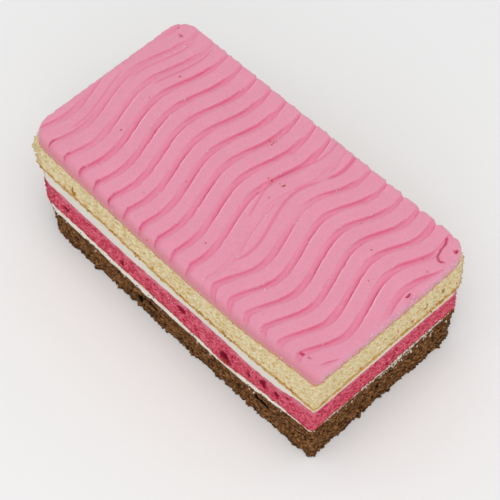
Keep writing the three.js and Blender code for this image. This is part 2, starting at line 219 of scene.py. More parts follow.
def make_layer(name, sides, radii, below, above, flare, roughness, swell, seed, torn,
               spread=(0, 0), frayed=0.0, air_holes=()):
    """One layer between two joints. sides are the places of its left, right, front and back
    side, flare how much the baked ones draw in from foot to top, below zero where they lean out,
    roughness how far its faces wander, swell its share of the belly at foot and top, torn how
    rough the baked ends are, spread how far its foot is pressed out on the long and the short
    cut side, and frayed how far torn crumb hangs out at its foot."""
    base_x, base_y, out_x, out_y = outline(*sides, radii)
    height = float(np.mean(above(base_x, base_y) - below(base_x, base_y)))
    edge = np.array(EDGE_RINGS) / height
    first = INNER_RINGS_FROM / height
    inner = np.linspace(first, 1 - first, max(3, round(height / FACE_STEP)))
    levels = np.concatenate([edge, inner, 1 - edge[::-1]])[:, None]
    baked = np.maximum(np.clip(-out_x, 0, 1), np.clip(out_y, 0, 1))
    along = base_x * np.abs(out_y) + base_y * np.abs(out_x)
    drawn_in = flare * baked * levels ** 1.5
    wander = roughness * mix(0.5, 1, baked) * uneven(along, levels, seed + 2 * out_x)
    tear = torn * mix(0.25, 1, baked) * ragged(along * 0.9, levels * height * 0.9, seed)
    bulge = BELLY_BULGE * mix(swell[0], swell[1], levels) * belly(base_x) * np.clip(-out_y, 0, 1)
    thick = above(base_x, base_y) - below(base_x, base_y)
    from_edge = np.minimum(levels, 1 - levels) * thick
    pressed = spread[0] * np.clip(-out_y, 0, 1) + spread[1] * np.clip(out_x, 0, 1)
    fray = (1.5 * np.clip(ragged(along * 0.45, 0 * along, seed + 4) - 0.12, 0, 1)
            + 0.5 * ragged(along * 1.5, 0 * along, seed + 5)) * (1 - levels) ** 3
    out = (bulge + wander + tear - drawn_in - rounded_off(EDGE_ROUND, from_edge)
           + pressed * (1 - levels) ** 2 + frayed * fray)
    x = base_x + out_x * out
    y = base_y + out_y * out
    z = mix(below(x, y), above(x, y), levels)
    out_x, out_y = out_x + 0 * z, out_y + 0 * z
    depth, dark = hollow(x, y, z, out_x, out_y, air_holes)
    rings = np.stack([x - out_x * depth, y - out_y * depth, z], 1)
    points, faces, open_share = closed_skin(rings, below, above)
    # hole carries how dark the painted shade in the air holes is.
    hole = np.zeros(len(points))
    hole[:dark.size] = dark.ravel()
    foot = points[:, 2] - below(points[:, 0], points[:, 1])
    head = above(points[:, 0], points[:, 1]) - points[:, 2]
    return make_piece(name, points, faces, wall=open_share, hole=hole, foot=foot, head=head)


def add_node(tree, kind, inputs=(), **settings):
    """Adds a node to a tree. Its settings are given by name. Its inputs are a list, or a dict
    from an input's name or number, of values, outputs or nodes, whose first output is meant."""
    node = tree.nodes.new(kind)
    for setting, value in settings.items():
        setattr(node, setting, value)
    for key, value in inputs.items() if isinstance(inputs, dict) else enumerate(inputs):
        if isinstance(value, bpy.types.Node):
            value = value.outputs[0]
        if isinstance(value, bpy.types.NodeSocket):
            tree.links.new(value, node.inputs[key])
        else:
            node.inputs[key].default_value = value
    return node


def new_shaping(name, sizes):
    """An empty geometry tree with the inputs named, each a size or number, and a material."""
    tree = bpy.data.node_groups.new(name, "GeometryNodeTree")
    tree.interface.new_socket("Geometry", in_out="OUTPUT", socket_type="NodeSocketGeometry")
    tree.interface.new_socket("Geometry", in_out="INPUT", socket_type="NodeSocketGeometry")
    for size in sizes:
        tree.interface.new_socket(size, in_out="INPUT", socket_type="NodeSocketFloat")
    tree.interface.new_socket("Material", in_out="INPUT", socket_type="NodeSocketMaterial")
    return tree, add_node(tree, "NodeGroupInput").outputs


def end_shaping(tree, shape, material):
    """Ends a geometry tree: smooth faces, real instances and the material."""
    smooth = add_node(tree, "GeometryNodeSetShadeSmooth", {"Geometry": shape})
    real = add_node(tree, "GeometryNodeRealizeInstances", {"Geometry": smooth})
    painted = add_node(tree, "GeometryNodeSetMaterial", {"Geometry": real, "Material": material})
    add_node(tree, "NodeGroupOutput", {"Geometry": painted})
    return tree


def end_with_relief(tree, shape, height, material):
    """Ends a geometry tree that raises the open faces of a layer by a height."""
    in_open = add_node(tree, "GeometryNodeInputNamedAttribute", {"Name": "wall"})
    shown = add_node(tree, "ShaderNodeMath", [height, in_open], operation="MULTIPLY")
    normal = add_node(tree, "GeometryNodeInputNormal")
    offset = add_node(tree, "ShaderNodeVectorMath", {0: normal, "Scale": shown}, operation="SCALE")
    moved = add_node(tree, "GeometryNodeSetPosition", {"Geometry": shape, "Offset": offset})
    return end_shaping(tree, moved, material)


def shape_piece(piece, tree, values):
    """Runs a geometry tree on a piece with the values named, and keeps the result as its mesh.
    What would sink into the table top is pressed flat on it."""
    modifier = piece.modifiers.new(tree.name, "NODES")
    modifier.node_group = tree
    for socket in tree.interface.items_tree:
        if socket.in_out == "INPUT" and socket.name in values:
            modifier[socket.identifier] = values[socket.name]
    depsgraph = bpy.context.evaluated_depsgraph_get()
    shaped = bpy.data.meshes.new_from_object(piece.evaluated_get(depsgraph), depsgraph=depsgraph,
                                             preserve_all_data_layers=True)
    piece.modifiers.remove(modifier)
    plain = piece.data
    piece.data = shaped
    bpy.data.meshes.remove(plain)
    shaped.name = piece.name
    points = np.zeros(3 * len(shaped.vertices))
    shaped.vertices.foreach_get("co", points)
    points[2::3] = np.maximum(points[2::3], 0)
    shaped.vertices.foreach_set("co", points)


# Baked crumb: bubbles of two sizes opened by the knife, and the grain between them. The radius
# of a bubble is up to a share of the spacing, its floor is narrower than its mouth, the fine ones
# are less deep, grains clump, and stirring keeps the bubbles from being round.
WIDEST_BUBBLE, WIDEST_FINE_BUBBLE = 0.42, 0.46
FLOOR_SHARE = 0.35
FINE_DEPTH_SHARE = 0.65
CLUMPS_A_GRAIN = 0.22
STIR = 1.2 * MM
tree, size = new_shaping("crumb_relief", (
    "Bubble spacing", "Fine bubble spacing", "Bubble depth", "Grain size", "Grain height", "Seed"))
place = add_node(tree, "GeometryNodeInputPosition")
shifted = add_node(tree, "ShaderNodeVectorMath", [size["Seed"], (0.13, 0.29, 0.41), place],
                   operation="MULTIPLY_ADD")
grains, clumps = (
    add_node(tree, "ShaderNodeMath", [count, size["Grain size"]], operation="DIVIDE")
    for count in (1.0, CLUMPS_A_GRAIN))
grain = add_node(tree, "ShaderNodeTexNoise", {
    "Vector": shifted, "Scale": grains, "Detail": 2.0, "Roughness": 0.6})
clump = add_node(tree, "ShaderNodeTexNoise", {"Vector": shifted, "Scale": clumps, "Detail": 2.0})
centred = add_node(tree, "ShaderNodeVectorMath", [grain.outputs["Color"], (0.5, 0.5, 0.5)],
                   operation="SUBTRACT")
stirred = add_node(tree, "ShaderNodeVectorMath", [centred, (STIR, STIR, STIR), shifted],
                   operation="MULTIPLY_ADD")
bubbles = []
for spacing, widest in (("Bubble spacing", WIDEST_BUBBLE),
                        ("Fine bubble spacing", WIDEST_FINE_BUBBLE)):
    per_metre = add_node(tree, "ShaderNodeMath", [1.0, size[spacing]], operation="DIVIDE")
    cells = add_node(tree, "ShaderNodeTexVoronoi", {"Vector": stirred, "Scale": per_metre})
    chance = add_node(tree, "ShaderNodeSeparateXYZ", [cells.outputs["Color"]])
    radius = add_node(tree, "ShaderNodeMath", [chance, widest], operation="MULTIPLY")
    floor_radius = add_node(tree, "ShaderNodeMath", [radius, FLOOR_SHARE], operation="MULTIPLY")
    bubbles.append(add_node(tree, "ShaderNodeMapRange", {
        "Value": cells, "From Min": radius, "From Max": floor_radius},
        interpolation_type="SMOOTHSTEP"))
shallower = add_node(tree, "ShaderNodeMath", [bubbles[1], FINE_DEPTH_SHARE],
                     operation="MULTIPLY")
bubble = add_node(tree, "ShaderNodeMath", [bubbles[0], shallower], operation="MAXIMUM")
sunk = add_node(tree, "ShaderNodeMath", [bubble, size["Bubble depth"]], operation="MULTIPLY")
both = add_node(tree, "ShaderNodeMath", [grain, clump], operation="ADD")
raised = add_node(tree, "ShaderNodeMath", [both, -1.0], operation="ADD")
relief = add_node(tree, "ShaderNodeMath", [raised, size["Grain height"]], operation="MULTIPLY")
height = add_node(tree, "ShaderNodeMath", [relief, sunk], operation="SUBTRACT")
# The bubbles are kept for the finish, which paints shade in them.
kept = add_node(tree, "GeometryNodeStoreNamedAttribute", {
    "Geometry": size["Geometry"], "Name": "pore_shade", "Value": bubble})
crumb_relief = end_with_relief(tree, kept, height, size["Material"])


def paint(colour):
    """An sRGB hex colour as linear red, green, blue and alpha."""
    parts = [int(colour[i:i + 2], 16) / 255 for i in (1, 3, 5)]
    return [p / 12.92 if p <= 0.04045 else ((p + 0.055) / 1.055) ** 2.4 for p in parts] + [1.0]


def new_finish(name, roughness, soak, soak_depth, soak_colours, gloss=0.5):
    """A material with its shader. soak is the share of the light that passes into the food,
    soak_depth how far it spreads, in millimetres, soak_colours the spread of red, green and
    blue against each other, and gloss the strength of its shine."""
    material = bpy.data.materials.new(name)
    material.use_nodes = True
    tree = material.node_tree
    tree.nodes.clear()
    shader = add_node(tree, "ShaderNodeBsdfPrincipled", {
        "Roughness": roughness, "IOR": 1.45, "Subsurface Weight": soak,
        "Subsurface Scale": soak_depth * MM, "Subsurface Radius": soak_colours,
        "Specular IOR Level": gloss})
    add_node(tree, "ShaderNodeOutputMaterial", {"Surface": shader.outputs[0]})
    return material, tree, shader


def stained(tree, colour, stain, value, start=0.0, end=1.0, most=1.0, times=1.0):
    """A colour with a stain over it, whose share grows to most while a value goes from start to
    end, times a further share."""
    grown = add_node(tree, "ShaderNodeMapRange", {
        "Value": value, "From Min": start, "From Max": end, "To Max": most})
    share = add_node(tree, "ShaderNodeMath", [grown, times], operation="MULTIPLY")
    return add_node(tree, "ShaderNodeMix", {
        0: share, 6: colour, 7: paint(stain)}, data_type="RGBA").outputs[2]


def sponge_finish(name, crumb, light, pore_shade, hollow_shade, grain_size, contrast, crust,
                  crust_height, top_colour, top_height, soak, crust_rise=0.0):
    """Baked sponge, cut with a knife: matt crumb with pale torn fibres, partly painted highlight
    on the lit crumb, and painted shade in its pores, air holes and the gaps between its grains, a
    browned line of crust near its foot, and another colour soaked in at its top. contrast is how
    dark the painted shade between its grains is, and crust_rise how far up from the foot the line
    lies."""
    material, tree, shader = new_finish(name, 0.9, soak, 1.0, (1.0, 0.6, 0.4), gloss=0.1)
    place = add_node(tree, "ShaderNodeTexCoord").outputs["Object"]
    # The saw-toothed knife drags the crumb out along the cut: streaks four times as long as high.
    streaked = add_node(tree, "ShaderNodeMapping", {"Vector": place, "Scale": (0.5, 0.5, 2.0)})
    # Clumps about 4 mm wide, and grain a little coarser than the real crumb, so that it shows.
    clump = add_node(tree, "ShaderNodeTexNoise", {
        "Vector": place, "Scale": 1 / (4 * MM), "Detail": 3.0, "Roughness": 0.6})
    grain = add_node(tree, "ShaderNodeTexNoise", {
        "Vector": streaked, "Scale": 1 / (grain_size * MM), "Detail": 1.5, "Roughness": 0.6})
    tone = add_node(tree, "ShaderNodeMath", [clump, 0.3, grain], operation="MULTIPLY_ADD")
    # The light tone is partly the pale torn fibres and partly painted highlight on the lit crumb.
    colour = stained(tree, paint(crumb), light, tone, 0.67, 0.82, 0.95)
    # Painted shade in needle pores, twice as far apart as the grains, in the gaps between the
    # grains and in the bubbles of the relief.
    needles = add_node(tree, "ShaderNodeTexVoronoi", {
        "Vector": streaked, "Scale": 1 / (2 * grain_size * MM)})
    darkness = add_node(tree, "ShaderNodeAttribute", attribute_name="pore_shade").outputs["Fac"]
    for value, start, end in ((needles, 0.34, 0.2), (tone, 0.64, 0.5)):
        share = add_node(tree, "ShaderNodeMapRange", {
            "Value": value, "From Min": start, "From Max": end, "To Max": contrast})
        darkness = add_node(tree, "ShaderNodeMath", [darkness, share], operation="MAXIMUM")
    colour = stained(tree, colour, pore_shade, darkness)
    # Painted shade in the air holes.
    hole = add_node(tree, "ShaderNodeAttribute", attribute_name="hole").outputs["Fac"]
    colour = stained(tree, colour, hollow_shade, hole)
    # The soaked-in colour fades out downwards, and the crust ends in spots.
    for edge, edge_colour, edge_height, rise, spots, start, end, most in (
            ("head", top_colour, top_height, 0.0, clump, 0.7, -0.7, 0.8),
            ("foot", crust, crust_height, crust_rise, grain, 0.45, -0.15, 1.0)):
        height = add_node(tree, "ShaderNodeAttribute", attribute_name=edge).outputs["Fac"]
        from_line = add_node(tree, "ShaderNodeMath", [height, rise], operation="SUBTRACT")
        from_edge = add_node(tree, "ShaderNodeMath", [from_line], operation="ABSOLUTE")
        ragged_edge = add_node(tree, "ShaderNodeMath", [spots, -1.6 * edge_height, from_edge],
                               operation="MULTIPLY_ADD")
        broken = add_node(tree, "ShaderNodeMapRange", {
            "Value": spots, "From Min": 0.42, "From Max": 0.54, "To Min": 0.35})
        colour = stained(tree, colour, edge_colour, ragged_edge, start * edge_height,
                         end * edge_height, most, broken)
    roughened = add_node(tree, "ShaderNodeBump", {
        "Height": tone, "Strength": 1.0, "Distance": 0.5 * MM})
    tree.links.new(colour, shader.inputs["Base Color"])
    tree.links.new(roughened.outputs[0], shader.inputs["Normal"])
    return material


chocolate_crumb = sponge_finish(
    "baked_chocolate_crumb", crumb="#724a27", light="#b38053", pore_shade="#130904",
    hollow_shade="#0d0502", grain_size=0.9, contrast=1.0, crust="#432813", crust_height=0.8,
    top_colour="#7a5230", top_height=0.8, soak=0.0)

chocolate_sponge = make_layer(
    "chocolate_sponge", sides=(-77.6, 84.2, -44.7, 40.4), radii=(12, 1.5, 6, 10),
    below=lambda x, y: 0 * x, above=chocolate_top,
    flare=-3, roughness=0.6, swell=(0.3, 0.4), seed=1, torn=1.2, spread=(0.4, 1.0), frayed=1.0,
    air_holes=(("long", -16, 6.9, 1.7, 2.9, 2.6), ("long", -9.3, 9.6, 5.0, 1.2, 0.7),
               ("long", 56.5, 10.9, 5.0, 1.3, 0.8), ("long", -64, 4.8, 1.0, 0.7, 0.8),
               ("short", 1.9, 13.4, 1.4, 1.1, 1.6), ("short", -5.4, 9.3, 0.9, 1.3, 1.2),
               ("short", 13.4, 11.5, 1.3, 1.0, 1.2)))
shape_piece(chocolate_sponge, crumb_relief, {
    "Bubble spacing": 3.6 * MM, "Fine bubble spacing": 1.7 * MM, "Bubble depth": 1.2 * MM,
    "Grain size": 1.2 * MM, "Grain height": 1.5 * MM, "Seed": 1.0, "Material": chocolate_crumb})
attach(chocolate_sponge, "root")
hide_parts("sponge_chocolate")

# Loose bits: small torn lumps strewn over a carrier, thickly where its points say so. A lump is
# a ball, dented, then narrowed and flattened, and turned any way.
DENTS_ACROSS, DENT_SIZE = 2.4, 1.1
SHORTEST_SHARE, NARROW_SHARE = 0.3, 0.65
MOST_TURN = 6.28
tree, size = new_shaping("loose_bits", ("Bits a square metre", "Longest", "Flatness", "Seed"))
strewn = add_node(tree, "GeometryNodeInputNamedAttribute", {"Name": "strewn"})
density = add_node(tree, "ShaderNodeMath", [strewn, size["Bits a square metre"]],
                   operation="MULTIPLY")
spots = add_node(tree, "GeometryNodeDistributePointsOnFaces", {
    "Mesh": size["Geometry"], "Density": density, "Seed": size["Seed"]})
ball = add_node(tree, "GeometryNodeMeshIcoSphere", {"Radius": 0.5, "Subdivisions": 2})
place = add_node(tree, "GeometryNodeInputPosition")
dents = add_node(tree, "ShaderNodeTexNoise", {"Vector": place, "Scale": DENTS_ACROSS})
dent = add_node(tree, "ShaderNodeVectorMath", [dents.outputs["Color"], (0.5, 0.5, 0.5)],
                operation="SUBTRACT")
pulled = add_node(tree, "ShaderNodeVectorMath", {0: dent, "Scale": DENT_SIZE}, operation="SCALE")
lump = add_node(tree, "GeometryNodeSetPosition", {"Geometry": ball, "Offset": pulled})
share = add_node(tree, "FunctionNodeRandomValue", {2: SHORTEST_SHARE, 3: 1.0},
                 data_type="FLOAT").outputs[1]
length = add_node(tree, "ShaderNodeMath", [share, size["Longest"]], operation="MULTIPLY")
narrow, flat = (
    add_node(tree, "ShaderNodeMath", [length, part], operation="MULTIPLY")
    for part in (NARROW_SHARE, size["Flatness"]))
shape = add_node(tree, "ShaderNodeCombineXYZ", [length, narrow, flat])
turn = add_node(tree, "FunctionNodeRandomValue", [(0, 0, 0), (MOST_TURN, MOST_TURN, MOST_TURN)],
                data_type="FLOAT_VECTOR")
placed = add_node(tree, "GeometryNodeInstanceOnPoints", {
    "Points": spots, "Instance": lump, "Rotation": turn, "Scale": shape})
loose_bits = end_shaping(tree, placed, size["Material"])


def numbers_of(piece, *labels):
    """A piece's points in millimetres, and the numbers that they carry under each label."""
    mesh = piece.data
    points = np.zeros(3 * len(mesh.vertices))
    mesh.vertices.foreach_get("co", points)
    found = [points.reshape(-1, 3).T / MM]
    for label in labels:
        found.append(np.zeros(len(mesh.vertices)))
        mesh.attributes[label].data.foreach_get("value", found[-1])
    return found


def strew(name, carrier, share, material, per_square_cm, longest, flatness, seed):
    """Strews bits over a carrier, as thickly as share says point by point."""
    bits = bpy.data.objects.new(name, carrier.data.copy())
    bits.data.attributes.new("strewn", "FLOAT", "POINT").data.foreach_set("value", share)
    bpy.context.scene.collection.objects.link(bits)
    shape_piece(bits, loose_bits, {
        "Bits a square metre": per_square_cm * 1e4, "Longest": longest * MM, "Flatness": flatness,
        "Seed": seed, "Material": material})
    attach(bits, "root")


def bit_finish(name, bit, shade, soak, gloss):
    """Loose bits in two tones that change from bit to bit."""
    material, tree, shader = new_finish(name, 0.7, soak, 0.6, (1.0, 0.6, 0.4), gloss)
    place = add_node(tree, "ShaderNodeTexCoord").outputs["Object"]
    cloud = add_node(tree, "ShaderNodeTexNoise", {
        "Vector": place, "Scale": 1 / (1.2 * MM), "Detail": 2.0, "Roughness": 0.6})
    colour = stained(tree, paint(bit), shade, cloud, 0.35, 0.65)
    tree.links.new(colour, shader.inputs["Base Color"])
    return material


chocolate_bit = bit_finish("chocolate_crumbs", "#8a5f38", "#3a2210", 0.0, 0.1)
_, wall, foot = numbers_of(chocolate_sponge, "wall", "foot")
strew("chocolate_foot_crumbs", chocolate_sponge,
      wall * (smooth_step(2.4, 0.8, foot) + 0.1), chocolate_bit,
      per_square_cm=30, longest=1.7, flatness=0.6, seed=11)


# ------------------------------------------------------------------ lower cream
# Whipped cream, spread on the chocolate sponge with a palette knife. It is pressed thin at the
# short cut end, where the knife dragged it down over the crumb.
PINK_BOTTOM = 17.2


def pink_bottom(x, y):
    rise = 3.1 * smooth_step(38, 84, x) + 0.5 * smooth_step(-20, -78, x)
    sag = 1.1 * bell(x, 18, 26) + 1.7 * bell(x, 34, 8) * (1 - across(y))
    return PINK_BOTTOM + rise - sag + 0.3 * ragged(x, y, 2.0)


# Spread cream: soft drag lines that run along its face.
tree, size = new_shaping("cream_relief", ("Drag length", "Drag width", "Drag height", "Seed"))
place = add_node(tree, "GeometryNodeInputPosition")
lengths, widths = (
    add_node(tree, "ShaderNodeMath", [1.0, size[drag]], operation="DIVIDE")
    for drag in ("Drag length", "Drag width"))
stretch = add_node(tree, "ShaderNodeCombineXYZ", [lengths, lengths, widths])
dragged = add_node(tree, "ShaderNodeVectorMath", [place, stretch, size["Seed"]],
                   operation="MULTIPLY_ADD")
drag = add_node(tree, "ShaderNodeTexNoise", {
    "Vector": dragged, "Scale": 1.0, "Detail": 3.0, "Roughness": 0.5})
centred = add_node(tree, "ShaderNodeMath", [drag, 0.5], operation="SUBTRACT")
height = add_node(tree, "ShaderNodeMath", [centred, size["Drag height"]], operation="MULTIPLY")
cream_relief = end_with_relief(tree, size["Geometry"], height, size["Material"])


def cream_finish(name, cream, shade, foot_stain, head_stain, stain_height):
    """Whipped cream: soft, slightly glossy white that light passes into, stained where sponge
    touches it, and rubbed with crumb where its points say that it is smudged."""
    material, tree, shader = new_finish(name, 0.45, 0.35, 1.5, (1.0, 0.9, 0.75))
    place = add_node(tree, "ShaderNodeTexCoord").outputs["Object"]
    # Soft clouding about 6 mm wide and stuck specks of crumb about 2 mm apart.
    cloud = add_node(tree, "ShaderNodeTexNoise", {
        "Vector": place, "Scale": 1 / (6 * MM), "Detail": 3.0, "Roughness": 0.6})
    colour = stained(tree, paint(cream), shade, cloud)
    fine = add_node(tree, "ShaderNodeTexNoise", {
        "Vector": place, "Scale": 1 / (1.4 * MM), "Detail": 3.0, "Roughness": 0.7})
    for edge, stain in (("head", head_stain), ("foot", foot_stain)):
        from_edge = add_node(tree, "ShaderNodeAttribute", attribute_name=edge).outputs["Fac"]
        ragged_edge = add_node(tree, "ShaderNodeMath", [fine, -2.2 * stain_height, from_edge],
                               operation="MULTIPLY_ADD")
        colour = stained(tree, colour, stain, ragged_edge, 0.1 * stain_height,
                         -0.8 * stain_height, 0.75)
    smudge = add_node(tree, "ShaderNodeAttribute", attribute_name="smudge").outputs["Fac"]
    colour = stained(tree, colour, foot_stain, fine, 0.47, 0.56, times=smudge)
    tree.links.new(colour, shader.inputs["Base Color"])
    return material


lower_cream = make_layer(
    "lower_cream", sides=(-81.6, 83.9, -44.4, 42.0), radii=(12, 1.5, 6, 9),
    below=chocolate_top, above=pink_bottom,
    flare=0, roughness=0.4, swell=(0.4, 0.4), seed=2, torn=0.8)
shape_piece(lower_cream, cream_relief, {
    "Drag length": 9 * MM, "Drag width": 1.6 * MM, "Drag height": 0.9 * MM, "Seed": 2.0,
    "Material": cream_finish("whipped_cream_lower", cream="#f4f1ea", shade="#e4dfd4",
                             foot_stain="#7a5a3a", head_stain="#d98c8a", stain_height=0.7)})
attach(lower_cream, "root")
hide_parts("cream_lower")

# At the short cut end the knife rubbed chocolate crumb into the cream, and dragged flakes of
# cream down over the crumb.
at, wall = numbers_of(lower_cream, "wall")
short_end = smooth_step(82.5, 83.5, at[0])
smudges = lower_cream.data.attributes.new("smudge", "FLOAT", "POINT")
smudges.data.foreach_set("value", 0.85 * short_end + 0.08)
strew("crumbs_on_cream", lower_cream, wall * (0.22 + 0.78 * short_end), chocolate_bit,
      per_square_cm=16, longest=1.2, flatness=0.6, seed=12)
at, wall, head = numbers_of(chocolate_sponge, "wall", "head")
short_end = smooth_step(82.5, 83.5, at[0])
strew("cream_flakes", chocolate_sponge,
      wall * smooth_step(mix(1.4, 2.6, short_end), 0.2, head)
      * (short_end * (0.2 + bell(at[1], 11, 15)) + 0.08),
      bit_finish("whipped_cream_flake", "#f1ece3", "#c9b8a4", 0.2, 0.4),
      per_square_cm=60, longest=1.5, flatness=0.4, seed=13)


# ------------------------------------------------------------------ pink sponge
# The middle sheet, the same sponge coloured pink. Its baked underside shows as a thin brown
# line, cream has soaked into its top, and large air holes are open on the long cut side.
PINK_TOP = 31.7


def pink_top(x, y):
    wave = 0.9 * bell(x, -20, 18) - 1.1 * bell(x, 15, 18) + 0.8 * bell(x, 52, 12)
    rise = 4.7 * smooth_step(58, 86, x)
    return (PINK_TOP + rise * mix(1, 0.55, across(y)) - wave * mix(1, -0.4, across(y))
            + 0.35 * ragged(x, y, 3.0))


pink_crumb = sponge_finish(
    "baked_pink_crumb", crumb="#e0546f", light="#f092a2", pore_shade="#a00a2c",
    hollow_shade="#8c1a34", grain_size=0.8, contrast=0.9, crust="#b5502f", crust_height=1.3,
    top_colour="#e38a9c", top_height=2.6, soak=0.1)

pink_sponge = make_layer(
    "pink_sponge", sides=(-83.2, 84.5, -44.5, 43.6), radii=(12, 1.5, 6, 9),
    below=pink_bottom, above=pink_top,
    flare=1.8, roughness=0.45, swell=(0.4, 0.6), seed=3, torn=1.6,
    air_holes=(("long", 35.2, 19.8, 2.9, 4.3, 2.6), ("long", 57.0, 25.3, 1.8, 2.8, 1.0),
               ("long", 48.8, 22.4, 1.0, 1.9, 1.2), ("long", -27.0, 21.4, 1.5, 1.7, 1.4),
               ("long", -62.4, 24.2, 1.8, 1.6, 0.7), ("long", 10.4, 27.6, 2.6, 2.2, 0.6),
               ("long", 64.5, 26.0, 1.2, 1.8, 0.6), ("long", 70.5, 30.5, 1.0, 1.0, 0.8),
               ("short", -1.5, 23.8, 0.8, 1.2, 0.9), ("short", 2.2, 24.4, 0.9, 1.1, 0.7)))
shape_piece(pink_sponge, crumb_relief, {
    "Bubble spacing": 3.4 * MM, "Fine bubble spacing": 1.6 * MM, "Bubble depth": 0.9 * MM,
    "Grain size": 1.1 * MM, "Grain height": 1.0 * MM, "Seed": 3.0, "Material": pink_crumb})
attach(pink_sponge, "root")
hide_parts("sponge_pink")


# ------------------------------------------------------------------ upper cream
# The thicker layer of whipped cream, spread flat on the pink sponge. It runs out to almost
# nothing at the short cut end, where the sponges nearly touch.
VANILLA_BOTTOM = 38.9


def vanilla_bottom(x, y):
    fall = 1.9 * smooth_step(-45, 15, x) - 0.5 * smooth_step(25, 55, x)
    back_fall = 2.2 * smooth_step(50, 86, x) * across(y) ** 2
    return VANILLA_BOTTOM - fall * mix(1, 0.7, across(y)) - back_fall + 0.3 * ragged(x, y, 4.0)


upper_cream = make_layer(
    "upper_cream", sides=(-82.6, 85.0, -44.4, 42.4), radii=(11, 1.5, 7, 9),
    below=pink_top, above=vanilla_bottom,
    flare=0, roughness=0.3, swell=(0.6, 0.7), seed=4, torn=0.2)
# Its cream and clouding are painted a little greyer than the lower cream's, as painted shade under
# the vanilla sponge that overhangs it.
shape_piece(upper_cream, cream_relief, {
    "Drag length": 14 * MM, "Drag width": 1.8 * MM, "Drag height": 0.6 * MM, "Seed": 4.0,
    "Material": cream_finish("whipped_cream_upper", cream="#e9e5dc", shade="#d8d2c6",
                             foot_stain="#e3a3ae", head_stain="#e0c891", stain_height=0.6)})
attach(upper_cream, "root")
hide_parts("cream_upper")


# ------------------------------------------------------------------ vanilla sponge
# The top sheet, a pale egg sponge. Its baked underside shows as a golden-brown line with brown
# spots above it, and its edge hangs over the others at the back right corner.
VANILLA_TOP = 55.5


def vanilla_top(x, y):
    sag = BELLY_SAG * belly(x) * (1 - across(y))
    end_rise = 0.9 * smooth_step(50, 86, x) * (1 - across(y))
    middle_dip = 1.4 * np.sin(np.pi * across(y)) * smooth_step(55, 84, x)
    return VANILLA_TOP + end_rise - sag - middle_dip


vanilla_crumb = sponge_finish(
    "baked_vanilla_crumb", crumb="#ebdcb1", light="#f5ebcf", pore_shade="#cb9c48",
    hollow_shade="#b08038", grain_size=0.8, contrast=0.75, crust="#c48c34", crust_height=1.0,
    crust_rise=1.6, top_colour="#e2cb9a", top_height=0.3, soak=0.15)

vanilla_sponge = make_layer(
    "vanilla_sponge", sides=(-84.7, 84.8, -44.6, 45.4), radii=(9, 1.5, 8.5, 9),
    below=vanilla_bottom, above=vanilla_top,
    flare=1.6, roughness=0.4, swell=(0.7, 1), seed=5, torn=2.0,
    air_holes=(("long", -55.5, 43.4, 1.6, 2.6, 0.6), ("long", 41.0, 38.9, 1.0, 0.7, 0.7),
               ("long", -25.4, 42.6, 0.8, 0.7, 0.6), ("short", 19.0, 44.8, 0.9, 1.9, 1.2),
               ("short", 29.0, 45.4, 0.8, 1.5, 1.0), ("short", 0.6, 41.6, 0.9, 0.9, 0.7),
               ("short", 10.8, 42.8, 1.0, 1.0, 0.8)))
shape_piece(vanilla_sponge, crumb_relief, {
    "Bubble spacing": 3.2 * MM, "Fine bubble spacing": 1.5 * MM, "Bubble depth": 0.6 * MM,
    "Grain size": 1.0 * MM, "Grain height": 0.7 * MM, "Seed": 5.0, "Material": vanilla_crumb})
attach(vanilla_sponge, "root")
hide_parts("sponge_vanilla")

# Caramel-brown crumbs that cling in a broken row a little above its foot.
at, wall, foot = numbers_of(vanilla_sponge, "wall", "foot")
in_row = smooth_step(-0.3, 0.5, ragged(0.12 * at[0], 0.12 * at[1], 8.0))
strew("golden_crust_crumbs", vanilla_sponge, wall * (bell(foot, 1.8, 0.9) * in_row + 0.01),
      bit_finish("golden_crust_crumb", "#c8913c", "#9a6822", 0.0, 0.1),
      per_square_cm=70, longest=1.3, flatness=0.5, seed=14)
# Shreds of both sponges hang out where the knife left the slice, at the front left corner.
for shreds, sponge, slot, place, reach, longest, finish in (
        ("torn_vanilla_shreds", vanilla_sponge, "vanilla_sponge", (-82.8, -43.2, 48.5), 4.0, 4.6,
         bit_finish("torn_vanilla_shred", "#ece0bb", "#cdb27a", 0.15, 0.1)),
        ("torn_pink_shreds", pink_sponge, "pink_sponge", (-81.3, -42.2, 28.5), 4.0, 3.3,
         bit_finish("torn_pink_shred", "#e0546f", "#a8284a", 0.1, 0.1))):
    at, wall = numbers_of(sponge, "wall")
    away = np.sqrt(sum((at[axis] - place[axis]) ** 2 for axis in range(3)))
    strew(shreds, sponge, wall * bell(away, 0, reach), finish,
          per_square_cm=55, longest=longest, flatness=0.3, seed=15)


# ------------------------------------------------------------------ icing
# Pink butter icing, spread over the top and drawn across twice with a toothed comb that was
# swung to and fro. The comb leans as it swings, so a furrow's floor is deepest now on one side,
# now on the other. At the long cut side the knife smoothed the icing into a round edge.
ICING_THICKNESS = 4.4
ICING_LEFT, ICING_RIGHT, ICING_FRONT, ICING_BACK = -83.8, 84.7, -44.6, 44.3
ICING_RADII = (11.5, 2.5, 10.5, 9)
ICING_FRONT_RADIUS, ICING_BACK_RADIUS = 2.2, 1.2
ICING_UNDERCUT = 0.1
ROW_STEP = 0.5
FURROW_DEPTH, FURROW_HALF_WIDTH = 1.5, 1.4
WALL_WIDTH = 0.2
LIP = 0.1
SCALLOP_BEHIND, SCALLOP_FRONT, SCALLOP_PLACE, SCALLOP_WIDTH = 0.9, 0.5, 0.17, 0.12

